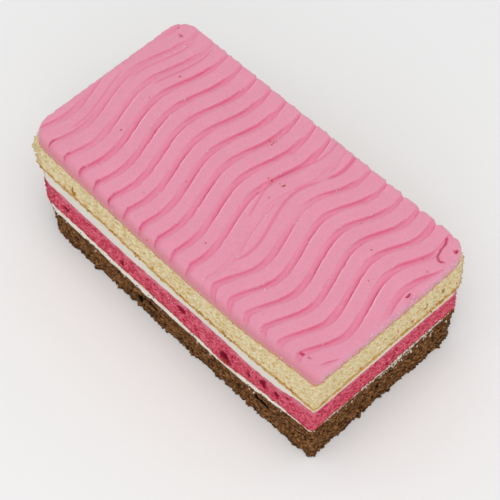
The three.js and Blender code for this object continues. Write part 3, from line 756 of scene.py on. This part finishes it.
# start is the place of the first furrow's middle, pitch the distance between teeth, swing and
# wave the size of the waves, delay how far they lag behind the tilt of the floor, crest the
# place of a wave's top, drift its shift from tooth to tooth, skew its lopsidedness, and lean the
# slant of the whole stroke.
FIRST_STROKE = dict(start=-82.4, pitch=9.0, swing=2.9, delay=0.9, wave=61.8, crest=39.6,
                    drift=-0.69, skew=0.18, lean=-0.06)
SECOND_STROKE = dict(start=18.15, pitch=9.2, swing=3.4, delay=1.0, wave=55.1, crest=38.6,
                     drift=-0.14, skew=0.4, lean=-0.03)
PITCH = FIRST_STROKE["pitch"]
LAST_OF_FIRST = 11
LAST_TOOTH = 18
HOOK_REACH, HOOK_SHIFT, HOOK_BEND = 5.0, 3.5, 1.3

# Lines of points run along each furrow at these distances from its middle, and more of them
# beside the teeth where the two strokes meet. Where two furrows lie further apart than the
# pitch, the lines past SPREAD_FROM spread out. Those that would run out at a short end are
# gathered in a narrow band inside it.
COLUMNS_OUT = (0.5, 0.9, 1.2, 1.4, 1.5, 1.6, 1.8, 2.1, 2.7, 3.5)
SEAM_COLUMNS = (2.4, 3.0, 3.25, 3.75, 4.0, 4.25)
FIRST_COLUMN, LAST_COLUMN = -0.7, LAST_TOOTH + 0.4
SPREAD_FROM = 2.7
SIDE_BAND = 0.7
# Rows of points run across the lines, these ones close together at both long edges.
EDGE_ROWS = (0, 0.12, 0.3, 0.55, 0.85, 1.2, 1.6)


def icing_front(x):
    return ICING_FRONT - BELLY_BULGE * belly(x)


def wave_phase(stroke, tooth, y):
    """How far round its wave a tooth is at y."""
    turn = 2 * np.pi * (stroke["crest"] + stroke["drift"] * tooth - y) / stroke["wave"]
    return turn + stroke["skew"] * (1 - np.cos(turn)) / 2


def stroke_line(stroke, tooth, y):
    """Where the middle of a furrow, or any line between two, crosses y on one stroke."""
    phase = wave_phase(stroke, tooth, y)
    sway = stroke["swing"] * np.cos(phase) + stroke["delay"] * np.sin(phase)
    hook = HOOK_SHIFT * np.clip((HOOK_REACH - HALF_WIDTH - y) / HOOK_REACH, 0, 1.1) ** HOOK_BEND
    return stroke["start"] + stroke["pitch"] * tooth + sway + stroke["lean"] * y + hook


def floor_tilt(stroke, tooth, y):
    """Tilt of a furrow's floor, from 1, deepest on its +X side, to -1."""
    return -np.sin(wave_phase(stroke, tooth, y))


def along_comb(value, tooth, y):
    """A value of both strokes together, with the teeth counted from the left end."""
    second = tooth - LAST_OF_FIRST
    return mix(value(FIRST_STROKE, np.minimum(tooth, LAST_OF_FIRST), y),
               value(SECOND_STROKE, np.maximum(second, 1), y), np.clip(second, 0, 1))


def tooth_at(x, y):
    """The tooth that passes through x, y, a whole number on a furrow's middle."""
    tooth = (x - along_comb(stroke_line, 0 * x, y)) / PITCH
    for _ in range(6):
        tooth = tooth + (x - along_comb(stroke_line, tooth, y)) / PITCH
    return tooth


def column_line(tooth, y):
    """Where a line of points crosses y that lies at a share of the pitch beside a furrow."""
    nearest = np.round(tooth)
    beside = PITCH * (tooth - nearest)
    middle = along_comb(stroke_line, nearest, y)
    half_gap = np.abs(along_comb(stroke_line, nearest + np.sign(beside), y) - middle) / 2
    half_pitch = PITCH / 2
    narrowed = np.minimum(1, half_gap / half_pitch)
    spread = smooth_step(SPREAD_FROM, half_pitch, np.abs(beside))
    spread = spread * np.maximum(0, half_gap - half_pitch)
    return middle + narrowed * beside + np.sign(beside) * spread


def in_from_edge(x, y):
    """Distance in from the icing's outline."""
    left, right, front, back = x - ICING_LEFT, ICING_RIGHT - x, y - icing_front(x), ICING_BACK - y
    inside = np.minimum(np.minimum(left, right), np.minimum(front, back))
    for side, end, radius in ((left, front, ICING_RADII[0]), (right, front, ICING_RADII[1]),
                              (right, back, ICING_RADII[2]), (left, back, ICING_RADII[3])):
        rounded = radius - np.hypot(radius - side, radius - end)
        in_corner = (side < radius) & (end < radius)
        inside = np.where(in_corner, np.minimum(inside, rounded), inside)
    return np.maximum(0, inside)


def bare_icing_top(x, y):
    """Height of the icing before the comb."""
    radius = mix(ICING_FRONT_RADIUS, ICING_BACK_RADIUS, np.clip(across(y), 0, 1))
    return vanilla_top(x, y) + ICING_THICKNESS - rounded_off(radius, in_from_edge(x, y))


span = ICING_BACK - ICING_FRONT
edge_rows = np.array(EDGE_ROWS)
row_count = round((span - 2 * edge_rows[-1]) / ROW_STEP)
row_places = np.concatenate([
    edge_rows[:-1], np.linspace(edge_rows[-1], span - edge_rows[-1], row_count),
    span - edge_rows[-2::-1]])
offsets = np.array([-c for c in COLUMNS_OUT[::-1]] + [0.0] + list(COLUMNS_OUT)
                   + [PITCH / 2]) / PITCH
column_teeth = [tooth + offsets for tooth in range(-1, LAST_TOOTH + 1)]
for tooth in (LAST_OF_FIRST - 1, LAST_OF_FIRST, LAST_OF_FIRST + 1):
    for facing in (-1, 1):
        column_teeth.append(tooth + facing * np.array(SEAM_COLUMNS) / PITCH)
column_teeth = np.sort(np.concatenate(column_teeth))
column_teeth = column_teeth[(column_teeth > FIRST_COLUMN) & (column_teeth < LAST_COLUMN)]
columns = len(column_teeth) + 2
grid_x = np.zeros((len(row_places), columns))
for row, distance in enumerate(row_places):
    drawn = [rounded_off(radius, away) for radius, away in zip(
        ICING_RADII, (distance, distance, span - distance, span - distance))]
    left = ICING_LEFT + max(drawn[0], drawn[3])
    right = ICING_RIGHT - max(drawn[1], drawn[2])
    line = column_line(column_teeth, ICING_FRONT + distance)
    before = int(np.sum(line < left + SIDE_BAND))
    behind = int(np.sum(line > right - SIDE_BAND))
    line[:before] = left + SIDE_BAND * np.arange(1, before + 1) / (before + 1)
    line[columns - 2 - behind:] = right - SIDE_BAND * np.arange(behind, 0, -1) / (behind + 1)
    grid_x[row] = np.concatenate([[left], line, [right]])
grid_y = mix(icing_front(grid_x), ICING_BACK, row_places[:, None] / span)
grid_z = bare_icing_top(grid_x, grid_y)

# The rim runs round the grid counter-clockwise, and the side below it goes down in steps to an
# undercut foot on the vanilla sponge.
order = np.arange(grid_x.size).reshape(grid_x.shape)
rim = np.concatenate([order[0], order[1:-1, -1], order[-1][::-1], order[1:-1, 0][::-1]])
grid = np.stack([grid_x, grid_y, grid_z], 2).reshape(-1, 3)
rim_points = grid[rim]
foot_x = rim_points[:, 0] * (1 - ICING_UNDERCUT / HALF_LENGTH)
foot_y = rim_points[:, 1] * (1 - ICING_UNDERCUT / HALF_WIDTH)
SIDE_LEVELS = np.array([0.0, 0.15, 0.35, 0.55, 0.75, 0.9])
rings = []
for share in SIDE_LEVELS:
    drawn = share ** 0.5
    x = mix(foot_x, rim_points[:, 0], drawn)
    y = mix(foot_y, rim_points[:, 1], drawn)
    rings.append(np.stack([x, y, mix(vanilla_top(x, y), rim_points[:, 2], share)]))
rings = np.array(rings)
side_points, side_faces, _ = closed_skin(rings, vanilla_top, vanilla_top)
# closed_skin also closes the top, which the combed grid does here.
kept_points = rings.shape[2] * (len(rings) + len(RINGS_IN)) + SPINE_STEPS + 1
side_faces = [face for face in side_faces if max(face) < kept_points]
side_points = side_points[:kept_points]
points = np.vstack([grid, side_points])
faces = np.stack([order[:-1, :-1], order[:-1, 1:], order[1:, 1:], order[1:, :-1]], 2)
faces = faces.reshape(-1, 4).tolist()
faces += [[corner + len(grid) for corner in face] for face in side_faces]
top_ring = len(grid) + (len(rings) - 1) * len(rim) + np.arange(len(rim))
faces += np.stack([top_ring, np.roll(top_ring, -1), np.roll(rim, -1), rim], 1).tolist()

# The cut and torn edges wander: more at the short cut side and behind than at the long side.
for axis, side, facing, stray in ((0, ICING_RIGHT, 1, 0.7), (0, ICING_LEFT, -1, 0.45),
                                  (1, ICING_BACK, 1, 0.5)):
    near_edge = smooth_step(-2.5, 0.5, facing * (points[:, axis] - side))
    wander = ragged(0.8 * points[:, 1 - axis], 0.6 * points[:, 2], 7 + side)
    points[:, axis] += facing * stray * near_edge * wander
# Where a furrow runs out over the edge it pulls a notch in it, deeper towards the short cut end,
# so that the edge is scalloped.
for edge_y, facing, depth in ((ICING_BACK, 1, SCALLOP_BEHIND), (ICING_FRONT, -1, SCALLOP_FRONT)):
    tooth = tooth_at(points[:, 0], points[:, 1])
    near_edge = smooth_step(-3.0, 0.2, facing * (points[:, 1] - edge_y))
    in_notch = bell(tooth - np.round(tooth), facing * SCALLOP_PLACE, SCALLOP_WIDTH)
    deeper = mix(0.15, 1, smooth_step(20, 70, points[:, 0])) * smooth_step(79, 74, points[:, 0])
    points[:, 1] -= facing * depth * deeper * near_edge * in_notch
icing_x, icing_y = points[:, 0], points[:, 1]
from_front = icing_y - icing_front(icing_x)
from_back = icing_y - ICING_BACK
from_right = ICING_RIGHT - icing_x
nearest = np.round(tooth_at(icing_x, icing_y))
beside = icing_x - along_comb(stroke_line, nearest, icing_y)
# Towards the back edge a furrow narrows to a line on its +X side, least at the short cut end.
lifted = smooth_step(-12, -3, from_back) * smooth_step(65, 40, icing_x)
to_wall = np.minimum(0, beside - FURROW_HALF_WIDTH - WALL_WIDTH)
# At the long cut side the first teeth dug in where the comb was set down.
dug = (smooth_step(1.0, 2.5, from_front) * smooth_step(7.5, 5.0, from_front)
       * smooth_step(0, -40, icing_x) * bell(beside, -FURROW_HALF_WIDTH - 0.1, 0.35))
beside = beside + 0.9 * lifted * to_wall
tooth = nearest + np.clip(beside / PITCH, -0.499, 0.499)
# The knife wiped out the furrows' front ends towards the short cut end.
wiped = smooth_step(35, 60, icing_x)
fade = (smooth_step(mix(-1.2, 0.6, wiped), mix(1.6, 4.6, wiped), from_front)
        * smooth_step(0, 5, from_right) * smooth_step(-1, 3, icing_x - ICING_LEFT)
        * (1 - smooth_step(73, 77, icing_x) * smooth_step(29, 35, icing_y))
        * (1 - 0.8 * smooth_step(72, 79, icing_x) * smooth_step(-32, -39, icing_y))
        * (1 - 0.4 * smooth_step(-3, 0, from_back) * smooth_step(75, 25, icing_x)))
# The comb bit less deep at the left end, and where the two strokes meet.
bitten = (mix(0.65, 1, smooth_step(1.6, 2.8, tooth))
          * (1 - 0.65 * bell(nearest, LAST_OF_FIRST, 0.5))
          * (1 - 0.6 * bell(nearest, LAST_OF_FIRST + 1, 0.5) * bell(icing_y, 8, 9))
          * (0.92 + 0.16 * ragged(0.1 * icing_y, 1.9 * nearest, 2.0)))
on_top = np.zeros(len(points))
on_top[:len(grid)] = 1
on_top[len(grid):len(grid) + len(SIDE_LEVELS) * len(rim)] = np.repeat(SIDE_LEVELS, len(rim))

# Faint lines that outer teeth of the second stroke drew over the first, and lines beside the
# first furrows where their teeth slipped, each with its width and depth and the stretch across
# the slice where it shows.
FAINT_LINES = (
    (SECOND_STROKE, 0.14, 0.8, 0.45, -26, 24), (SECOND_STROKE, 0.14, 0.8, 0.8, 28, 50),
    (SECOND_STROKE, -0.98, 0.6, 0.35, -8, 50),
    (FIRST_STROKE, 1.27, 0.35, 0.6, 6, 38), (FIRST_STROKE, 2.28, 0.35, 0.6, 10, 40),
    (FIRST_STROKE, 0.72, 0.35, 0.5, -30, 4))
faint = np.zeros(len(points))
for stroke, faint_tooth, width, depth, start, end in FAINT_LINES:
    line = stroke_line(stroke, faint_tooth, icing_y)
    shown = smooth_step(start - 3, start + 3, icing_y) * smooth_step(end + 4, end - 4, icing_y)
    faint = np.maximum(faint, depth * shown * bell(icing_x, line, width))

# Small damage: pinholes, a pit where the comb lifted and a tear near the right corner.
PITS = ((80.9, 38.9, 1.0, 1.2, 1.6), (81.6, 10.4, 0.7, 1.9, 1.5), (71.4, -38.6, 1.6, 0.8, 0.8),
        (74.8, -38.2, 0.9, 0.6, 0.7), (4.9, 2.6, 0.6, 0.5, 0.5), (-76.4, 36.2, 1.5, 0.9, 0.6))
TEAR = ((73.9, 41.0), (75.4, 38.6), (75.9, 35.4), (77.2, 31.9), (79.4, 30.6), (80.8, 31.6))
pit = np.zeros(len(points))
for pit_x, pit_y, half_x, half_y, depth in PITS:
    reach = np.hypot((icing_x - pit_x) / half_x, (icing_y - pit_y) / half_y)
    pit = np.maximum(pit, depth * smooth_step(1.1, 0.3, reach + 0.2 * ragged(icing_x, icing_y, 9)))
for (start_x, start_y), (end_x, end_y) in zip(TEAR, TEAR[1:]):
    run = np.array([end_x - start_x, end_y - start_y])
    on_x, on_y = icing_x - start_x, icing_y - start_y
    share = np.clip((on_x * run[0] + on_y * run[1]) / (run @ run), 0, 1)
    away = np.hypot(on_x - share * run[0], on_y - share * run[1])
    pit = np.maximum(pit, 0.7 * smooth_step(0.8, 0.15, away + 0.2 * ragged(icing_x, icing_y, 4)))
pit = np.maximum(pit, 0.45 * dug * smooth_step(-0.6, 0.2, ragged(icing_x, icing_y, 6)))
points[:, 2] -= (faint + pit) * on_top

# rubbed is how strongly the band of painted shade on the rounded edge at the long cut side shows.
icing = make_piece(
    "icing_combed", points, faces, tooth=tooth, reach=fade * bitten * on_top,
    lean=(along_comb(floor_tilt, tooth, icing_y) + 1) / 2, upward=on_top,
    stray=1 + 2 * bell(icing_y, icing_front(icing_x) + 2.5, 3.5),
    rubbed=smooth_step(3.4, -0.6, from_front),
    faint=faint * on_top, pit=np.clip(pit, 0, 1) * on_top,
    foot=points[:, 2] - vanilla_top(icing_x, icing_y), inset=in_from_edge(icing_x, icing_y))

# Comb: each furrow is the section of a tooth, drawn along the lines that the points carry.
tree, size = new_shaping("comb_relief", (
    "Furrow depth", "Line wobble", "Drag spacing", "Drag height", "Burr height", "Seed"))
place = add_node(tree, "GeometryNodeInputPosition")
carried = {name: add_node(tree, "GeometryNodeInputNamedAttribute", {"Name": name})
           for name in ("tooth", "lean", "reach", "upward", "stray")}
shifted = add_node(tree, "ShaderNodeVectorMath", [size["Seed"], (0.31, 0.17, 0.23), place],
                   operation="MULTIPLY_ADD")
wobble, lump, burr_spots = (
    add_node(tree, "ShaderNodeTexNoise", {
        "Vector": shifted, "Scale": 1 / (width * MM), "Detail": detail, "Roughness": roughness})
    for width, detail, roughness in ((4, 3.0, 0.6), (3, 3.0, 0.6), (2.6, 1.0, 0.5)))
centred = add_node(tree, "ShaderNodeMath", [wobble, 0.5], operation="SUBTRACT")
wobbled = add_node(tree, "ShaderNodeMath", [centred, carried["stray"]], operation="MULTIPLY")
strayed = add_node(tree, "ShaderNodeMath", [wobbled, size["Line wobble"], carried["tooth"]],
                   operation="MULTIPLY_ADD")
from_crest = add_node(tree, "ShaderNodeMath", [strayed, 0.5], operation="ADD")
share = add_node(tree, "ShaderNodeMath", [from_crest], operation="FRACT")
mirrored = add_node(tree, "ShaderNodeMath", [1.0, share], operation="SUBTRACT")
# A furrow's floor slopes down from a soft shoulder to its deepest line at a steep wall. Where
# the comb pressed against the +X side, a lip of icing stands on that wall.
floor_share = FURROW_HALF_WIDTH / PITCH
wall_share = (FURROW_HALF_WIDTH + WALL_WIDTH) / PITCH
sections = []
for side, lip in ((share, LIP), (mirrored, 0.0)):
    section = add_node(tree, "ShaderNodeFloatCurve", {"Value": side})
    curve = section.mapping.curves[0]
    section_points = (
        (0.0, 0.0), (0.5 - 1.25 * wall_share, 0.0), (0.5 - 0.8 * floor_share, 0.3), (0.5, 0.5),
        (0.5 + floor_share, 1.0), (0.5 + wall_share, -lip), (0.56 + wall_share, -0.6 * lip),
        (0.63 + wall_share, 0.0), (1.0, 0.0))
    for _ in section_points[1:-1]:
        curve.points.new(0.5, 0.5)
    for point, (at, depth) in zip(curve.points, section_points):
        point.location = (at, (depth + LIP) / (1 + LIP))
        point.handle_type = "VECTOR"
    section.mapping.update()
    sections.append(section)
blended = add_node(tree, "ShaderNodeMix", {0: carried["lean"], 2: sections[1], 3: sections[0]})
section = add_node(tree, "ShaderNodeMath", [blended, 1 + LIP, -LIP], operation="MULTIPLY_ADD")
furrow = add_node(tree, "ShaderNodeMath", [section, carried["reach"]], operation="MULTIPLY")
cut = add_node(tree, "ShaderNodeMath", [furrow, size["Furrow depth"]], operation="MULTIPLY")
# Drag lines lie side by side across the comb's path and run 30 mm along it.
drag_across = add_node(tree, "ShaderNodeMath", [PITCH * MM, size["Drag spacing"]],
                       operation="DIVIDE")
drag_place = add_node(tree, "ShaderNodeMath", [carried["tooth"], drag_across],
                      operation="MULTIPLY")
row_place = add_node(tree, "ShaderNodeSeparateXYZ", [place]).outputs[1]
drag_along = add_node(tree, "ShaderNodeMath", [row_place, 1 / (30 * MM)], operation="MULTIPLY")
drag_vector = add_node(tree, "ShaderNodeCombineXYZ", [drag_place, drag_along, size["Seed"]])
drag = add_node(tree, "ShaderNodeTexNoise", {"Vector": drag_vector, "Scale": 1.0, "Detail": 2.0})
both = add_node(tree, "ShaderNodeMath", [drag, lump], operation="ADD")
grain = add_node(tree, "ShaderNodeMath", [both, -1.0], operation="ADD")
rough = add_node(tree, "ShaderNodeMath", [grain, size["Drag height"]], operation="MULTIPLY")
# Burrs stand here and there where a furrow's side meets the crest.
burr, near_side = (
    add_node(tree, "ShaderNodeMapRange", {"Value": value, "From Min": start, "From Max": end})
    for value, start, end in ((burr_spots, 0.62, 0.75), (furrow, 0.05, 0.16)))
burr_near = add_node(tree, "ShaderNodeMath", [burr, near_side], operation="MULTIPLY")
burr_rise = add_node(tree, "ShaderNodeMath", [burr_near, size["Burr height"], rough],
                     operation="MULTIPLY_ADD")
rise = add_node(tree, "ShaderNodeMath", [burr_rise, cut], operation="SUBTRACT")
top_rise = add_node(tree, "ShaderNodeMath", [rise, carried["upward"]], operation="MULTIPLY")
offset = add_node(tree, "ShaderNodeCombineXYZ", {2: top_rise})
# The furrow's depth is kept for the finish, which paints shade in the furrows and highlight on the
# lips.
kept = add_node(tree, "GeometryNodeStoreNamedAttribute", {
    "Geometry": size["Geometry"], "Name": "furrow", "Value": furrow})
moved = add_node(tree, "GeometryNodeSetPosition", {"Geometry": kept, "Offset": offset})
comb_relief = end_shaping(tree, moved, size["Material"])

# Butter icing: matt, fatty pink that light passes a little way into. Its furrows are painted a
# deeper pink as painted shade, its rounded edge is painted greyer as painted shade, and it browns
# where it meets the crumb.
butter_icing, tree, shader = new_finish(
    "combed_butter_icing", 0.55, 0.5, 1.8, (1.0, 0.4, 0.5), gloss=0.3)
place = add_node(tree, "ShaderNodeTexCoord").outputs["Object"]
# Fat and sugar stand out as a fine speckle, thicker here and thinner there.
cloud, speckle, fine = (
    add_node(tree, "ShaderNodeTexNoise", {
        "Vector": place, "Scale": 1 / (width * MM), "Detail": detail, "Roughness": roughness})
    for width, detail, roughness in ((14, 4.0, 0.6), (1.0, 2.0, 0.7), (1.6, 3.0, 0.7)))
both = add_node(tree, "ShaderNodeMath", [cloud, 0.5, speckle], operation="MULTIPLY_ADD")
colour = stained(tree, paint("#e99db4"), "#e496ae", both, 0.55, 0.95)
# Painted shade: the deep pink of a furrow and the crimson of its deepest line, of faint lines and
# of pits, the greyer rounded edge and a darker band along the edge at the long cut side. Painted
# highlight: a pale band on a lip. The deepest line and the lip show where the floor leans towards
# +X.
leaning = add_node(tree, "ShaderNodeAttribute", attribute_name="lean").outputs["Fac"]
for mark, mark_colour, start, end, times in (
        ("furrow", "#ea7399", 0.1, 1.0, 1.0), ("furrow", "#cc2862", 0.72, 1.05, leaning),
        ("furrow", "#f6b7ca", -0.015, -0.1, leaning), ("faint", "#e6789c", 0.05, 0.5, 1.0),
        ("pit", "#c81e55", 0.05, 0.8, 1.0), ("inset", "#d8a2b3", 1.6, -0.5, 1.0),
        ("rubbed", "#d0848f", 0.0, 1.0, 1.0)):
    depth = add_node(tree, "ShaderNodeAttribute", attribute_name=mark).outputs["Fac"]
    colour = stained(tree, colour, mark_colour, depth, start, end, times=times)
above_foot = add_node(tree, "ShaderNodeAttribute", attribute_name="foot").outputs["Fac"]
ragged_foot = add_node(tree, "ShaderNodeMath", [fine, -0.9, above_foot], operation="MULTIPLY_ADD")
for from_height, to_height, band_colour, most in (
        (2.4, 0.6, "#d69a90", 0.7), (1.0, 0.3, "#c8794a", 0.5), (0.2, -0.3, "#d3b07c", 0.8)):
    colour = stained(tree, colour, band_colour, ragged_foot, from_height, to_height, most)
tree.links.new(colour, shader.inputs["Base Color"])
roughened = add_node(tree, "ShaderNodeBump", {
    "Height": both, "Strength": 1.0, "Distance": 0.22 * MM})
tree.links.new(roughened.outputs[0], shader.inputs["Normal"])

shape_piece(icing, comb_relief, {
    "Furrow depth": FURROW_DEPTH * MM, "Line wobble": 0.09, "Drag spacing": 1.1 * MM,
    "Drag height": 0.2 * MM, "Burr height": 0.45 * MM, "Seed": 6.0, "Material": butter_icing})
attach(icing, "root")
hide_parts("icing")

# Pale burrs that the comb left along its furrows, a few large ones near the right corner, more
# that the knife smeared along the short cut edge, and orange flecks of crust fallen on top. Each
# spot is a place on the icing.
at, tooth, upward, foot, inset = numbers_of(icing, "tooth", "upward", "foot", "inset")
beside = bell(np.abs(tooth - np.round(tooth)), (FURROW_HALF_WIDTH + WALL_WIDTH) / PITCH, 0.03)
in_runs = smooth_step(0.05, 0.45, ragged(0.16 * at[0], 0.13 * at[1], 3.0))
smeared = smooth_step(1.9, 0.7, ICING_RIGHT - at[0]) * smooth_step(-35, 0, at[1])
BURR_SPOTS = ((46.9, -10.7), (54.9, -5.8), (79.2, -28.6), (67.6, -31.6), (-76.0, 34.0))
FLECK_SPOTS = ((4.9, 10.1), (9.5, 12.1), (12.0, 12.5), (-60.0, 20.0), (-8.0, 25.0))
burr = bit_finish("pale_icing_burr", "#f3c4d2", "#eaa9bd", 0.2, 0.3)
fleck = bit_finish("orange_crust_fleck", "#de7b62", "#c0553a", 0.3, 0.1)
for bits, spots, elsewhere, finish, longest, seed in (
        ("icing_burrs", BURR_SPOTS, 0.3 * beside * in_runs + 0.7 * smeared, burr, 1.5, 21),
        ("icing_crust_flecks", FLECK_SPOTS, 0.002, fleck, 1.3, 22)):
    near_spot = sum(bell(np.hypot(at[0] - x, at[1] - y), 0, 1.1) for x, y in spots)
    strew(bits, icing, (upward > 0.99) * np.minimum(1, near_spot + elsewhere), finish,
          per_square_cm=50, longest=longest, flatness=0.5, seed=seed)
# Brown crumbs in a thin line where the icing meets the sponge along the long cut side.
strew("icing_joint_crumbs", icing,
      smooth_step(0.9, 0.2, foot) * smooth_step(0.8, 0.3, inset) * smooth_step(-30, -42, at[1]),
      bit_finish("icing_joint_crumb", "#d09474", "#b8704c", 0.0, 0.1),
      per_square_cm=110, longest=0.8, flatness=0.5, seed=23)


# ------------------------------------------------------------------ floor, light and camera
# A plain white table top, a large soft lamp above and behind the slice, and a weak one in front.
bpy.ops.mesh.primitive_plane_add(size=6.0, location=(0, 0, 0))
floor = bpy.context.object
floor.name = "table_top"
white_board, tree, shader = new_finish("white_board", 0.7, 0.0, 1.0, (1.0, 1.0, 1.0))
shader.inputs["Base Color"].default_value = paint("#f4f4f4")
floor.data.materials.append(white_board)

world = bpy.data.worlds.new("soft_studio")
bpy.context.scene.world = world
world.use_nodes = True
world.node_tree.nodes["Background"].inputs["Color"].default_value = (1.0, 1.0, 1.0, 1.0)
world.node_tree.nodes["Background"].inputs["Strength"].default_value = 0.68

LAMPS = (("lamp_above", (0.25, -0.3, 1.3), 1.3, 5.6), ("lamp_front", (0.9, -1.0, 0.8), 0.9, 2.4))
for name, place, width, watts in LAMPS:
    lamp = bpy.data.objects.new(name, bpy.data.lights.new(name, "AREA"))
    lamp.data.shape = "DISK"
    lamp.data.size = width
    lamp.data.energy = watts
    lamp.location = place
    lamp.rotation_euler = (-Vector(place)).to_track_quat("-Z", "Y").to_euler()
    bpy.context.scene.collection.objects.link(lamp)

# The camera looks down on the front right corner. Its distance, and how far the place that it
# looks at lies to the right of, above and up from the middle of the base, are in lengths of the
# slice.
AZIMUTH, ELEVATION, ROLL = (math.radians(degrees) for degrees in (44.9, 56.25, 1.0))
CAMERA_DISTANCE = 4.635 * LENGTH * MM
LOOK_RIGHT, LOOK_ABOVE, LOOK_UP = 0.0159, -0.0215, 0.12
back = Vector((math.sin(AZIMUTH) * math.cos(ELEVATION), -math.cos(AZIMUTH) * math.cos(ELEVATION),
               math.sin(ELEVATION)))
right = Vector((math.cos(AZIMUTH), math.sin(AZIMUTH), 0))
up = back.cross(right)
centre = (Vector((0, 0, LOOK_UP)) + LOOK_RIGHT * right + LOOK_ABOVE * up) * LENGTH * MM
camera_data = bpy.data.cameras.new("camera")
camera_data.lens = 133.8
camera_data.sensor_width = 36.0
camera_data.clip_start = 0.01
camera = bpy.data.objects.new("camera", camera_data)
rolled_right = math.cos(ROLL) * right + math.sin(ROLL) * up
rolled_up = math.cos(ROLL) * up - math.sin(ROLL) * right
camera.matrix_world = Matrix((rolled_right, rolled_up, back)).transposed().to_4x4()
camera.location = centre + back * CAMERA_DISTANCE
bpy.context.scene.collection.objects.link(camera)
bpy.context.scene.camera = camera
bpy.context.scene.view_settings.view_transform = "Standard"

bpy.context.view_layer.update()
